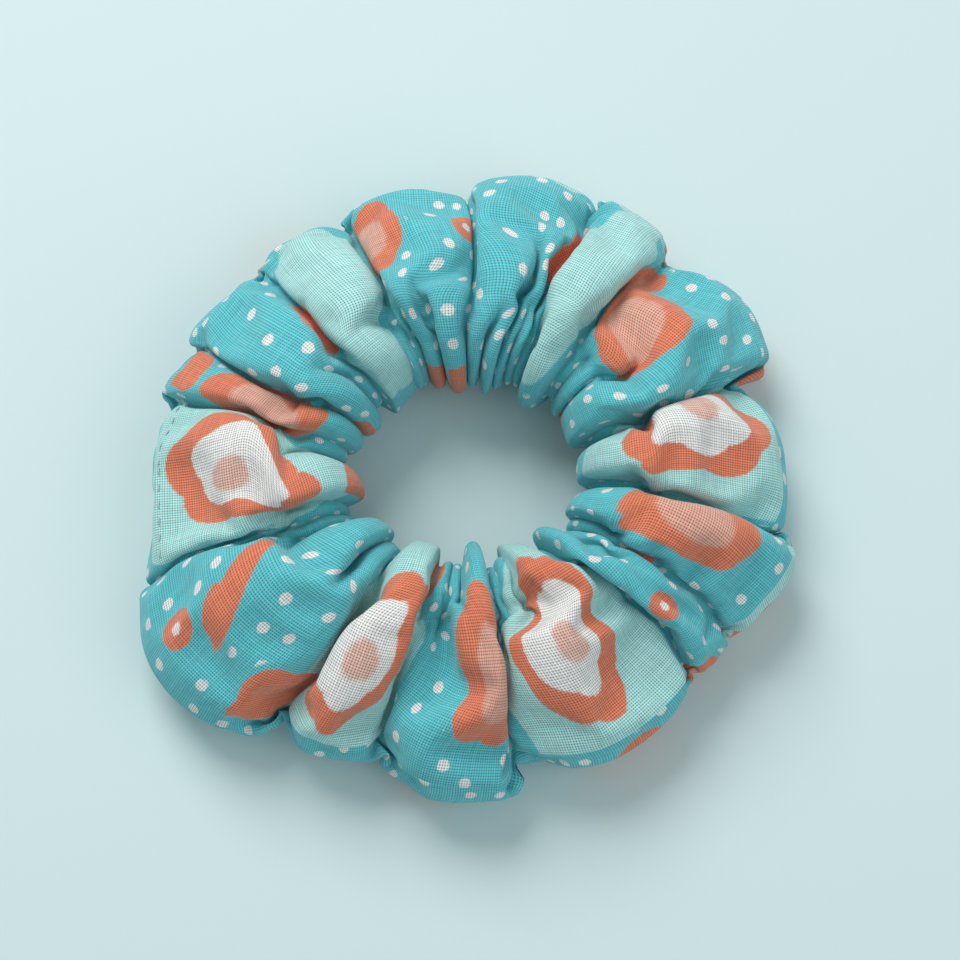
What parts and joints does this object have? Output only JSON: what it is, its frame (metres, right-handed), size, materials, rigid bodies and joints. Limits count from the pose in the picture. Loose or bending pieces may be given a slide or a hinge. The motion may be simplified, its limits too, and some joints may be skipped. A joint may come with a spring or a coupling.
{
  "type": "scrunchie",
  "caption": "Gathered cotton tube on a sewn loop of flat elastic, a stretchy ring that holds a bunch of hair.",
  "frame": {"origin": "centre of the ring, on the plane it lies on", "axes": "+Z is the ring's axis, pointing up from the resting plane; -X points to the sewn join of the elastic and the cover"},
  "size_m": [0.1137, 0.1118, 0.0276],
  "materials": {
    "cover_cotton": "plain-weave printed cotton: teal ground with white dots, pale mint patches, coral lobed blossoms",
    "elastic_band": "white braided flat elastic",
    "seam_thread": "matt polyester thread, pale aqua",
    "join_thread": "matt white polyester thread",
    "closing_thread": "matt polyester thread, aqua"
  },
  "bodies": {
    "sewn_join": {"cover_start": "cover_cotton", "elastic_start": "elastic_band", "seam_thread_start": "seam_thread", "elastic_join_stitch": "join_thread", "cross_seam_stitch": "seam_thread", "closing_stitch": "closing_thread"},
    "puff_02": {"cover_puff_02": "cover_cotton", "elastic_length_02": "elastic_band", "seam_thread_02": "seam_thread"},
    "puff_03": {"cover_puff_03": "cover_cotton", "elastic_length_03": "elastic_band", "seam_thread_03": "seam_thread"},
    "puff_04": {"cover_puff_04": "cover_cotton", "elastic_length_04": "elastic_band", "seam_thread_04": "seam_thread"},
    "puff_05": {"cover_puff_05": "cover_cotton", "elastic_length_05": "elastic_band", "seam_thread_05": "seam_thread"},
    "puff_06": {"cover_puff_06": "cover_cotton", "elastic_length_06": "elastic_band", "seam_thread_06": "seam_thread"},
    "puff_07": {"cover_puff_07": "cover_cotton", "elastic_length_07": "elastic_band", "seam_thread_07": "seam_thread"},
    "puff_08": {"cover_puff_08": "cover_cotton", "elastic_length_08": "elastic_band", "seam_thread_08": "seam_thread"},
    "puff_09": {"cover_puff_09": "cover_cotton", "elastic_length_09": "elastic_band", "seam_thread_09": "seam_thread"},
    "puff_10": {"cover_puff_10": "cover_cotton", "elastic_length_10": "elastic_band", "seam_thread_10": "seam_thread"},
    "puff_11": {"cover_puff_11": "cover_cotton", "elastic_length_11": "elastic_band", "seam_thread_11": "seam_thread"},
    "puff_12": {"cover_puff_12": "cover_cotton", "elastic_length_12": "elastic_band", "seam_thread_12": "seam_thread"},
    "puff_13": {"cover_puff_13": "cover_cotton", "elastic_length_13": "elastic_band", "seam_thread_13": "seam_thread"},
    "puff_14": {"cover_puff_14": "cover_cotton", "elastic_length_14": "elastic_band", "seam_thread_14": "seam_thread"},
    "sewn_join_finish": {"cover_finish": "cover_cotton", "elastic_finish": "elastic_band", "seam_thread_finish": "seam_thread"}
  },
  "joints": [
    {"name": "stretch", "type": "slide", "parent": "sewn_join", "child": "puff_02", "axis": [0.1478, -0.989, 0], "range_m": [0, 0.01718], "stiffness_N_per_m": 300},
    {"name": "stretch_02", "type": "slide", "parent": "puff_02", "child": "puff_03", "axis": [0.6341, -0.7733, 0], "range_m": [0, 0.01584]},
    {"name": "stretch_03", "type": "slide", "parent": "puff_03", "child": "puff_04", "axis": [0.9455, -0.3257, 0], "range_m": [0, 0.0146]},
    {"name": "stretch_04", "type": "slide", "parent": "puff_04", "child": "puff_05", "axis": [0.9638, 0.2665, 0], "range_m": [0, 0.0188]},
    {"name": "stretch_05", "type": "slide", "parent": "puff_05", "child": "puff_06", "axis": [0.6393, 0.7689, 0], "range_m": [0, 0.0146]},
    {"name": "stretch_06", "type": "slide", "parent": "puff_06", "child": "puff_07", "axis": [0.2739, 0.9618, 0], "range_m": [0, 0.00948]},
    {"name": "stretch_07", "type": "slide", "parent": "puff_07", "child": "puff_08", "axis": [-0.0042, 1, 0], "range_m": [0, 0.01234]},
    {"name": "stretch_08", "type": "slide", "parent": "puff_08", "child": "puff_09", "axis": [-0.2885, 0.9575, 0], "range_m": [0, 0.01412]},
    {"name": "stretch_09", "type": "slide", "parent": "puff_09", "child": "puff_10", "axis": [-0.6525, 0.7578, 0], "range_m": [0, 0.01186]},
    {"name": "stretch_10", "type": "slide", "parent": "puff_10", "child": "puff_11", "axis": [-0.9054, 0.4245, 0], "range_m": [0, 0.01085]},
    {"name": "stretch_11", "type": "slide", "parent": "puff_11", "child": "puff_12", "axis": [-1, 0.0025, 0], "range_m": [0, 0.01265]},
    {"name": "stretch_12", "type": "slide", "parent": "puff_12", "child": "puff_13", "axis": [-0.8991, -0.4377, 0], "range_m": [0, 0.01189]},
    {"name": "stretch_13", "type": "slide", "parent": "puff_13", "child": "puff_14", "axis": [-0.6083, -0.7937, 0], "range_m": [0, 0.01319]},
    {"name": "stretch_14", "type": "slide", "parent": "puff_14", "child": "sewn_join_finish", "axis": [-0.2185, -0.9758, 0], "range_m": [0, 0.01553]}
  ],
  "couplings": [
    {"joint": "stretch_02", "follows": "stretch", "ratio": 0.92113},
    {"joint": "stretch_03", "follows": "stretch", "ratio": 0.84939},
    {"joint": "stretch_04", "follows": "stretch", "ratio": 1.0935},
    {"joint": "stretch_05", "follows": "stretch", "ratio": 0.84919},
    {"joint": "stretch_06", "follows": "stretch", "ratio": 0.55146},
    {"joint": "stretch_07", "follows": "stretch", "ratio": 0.71779},
    {"joint": "stretch_08", "follows": "stretch", "ratio": 0.82112},
    {"joint": "stretch_09", "follows": "stretch", "ratio": 0.68989},
    {"joint": "stretch_10", "follows": "stretch", "ratio": 0.63116},
    {"joint": "stretch_11", "follows": "stretch", "ratio": 0.73562},
    {"joint": "stretch_12", "follows": "stretch", "ratio": 0.69128},
    {"joint": "stretch_13", "follows": "stretch", "ratio": 0.76728},
    {"joint": "stretch_14", "follows": "stretch", "ratio": 0.90351}
  ]
}
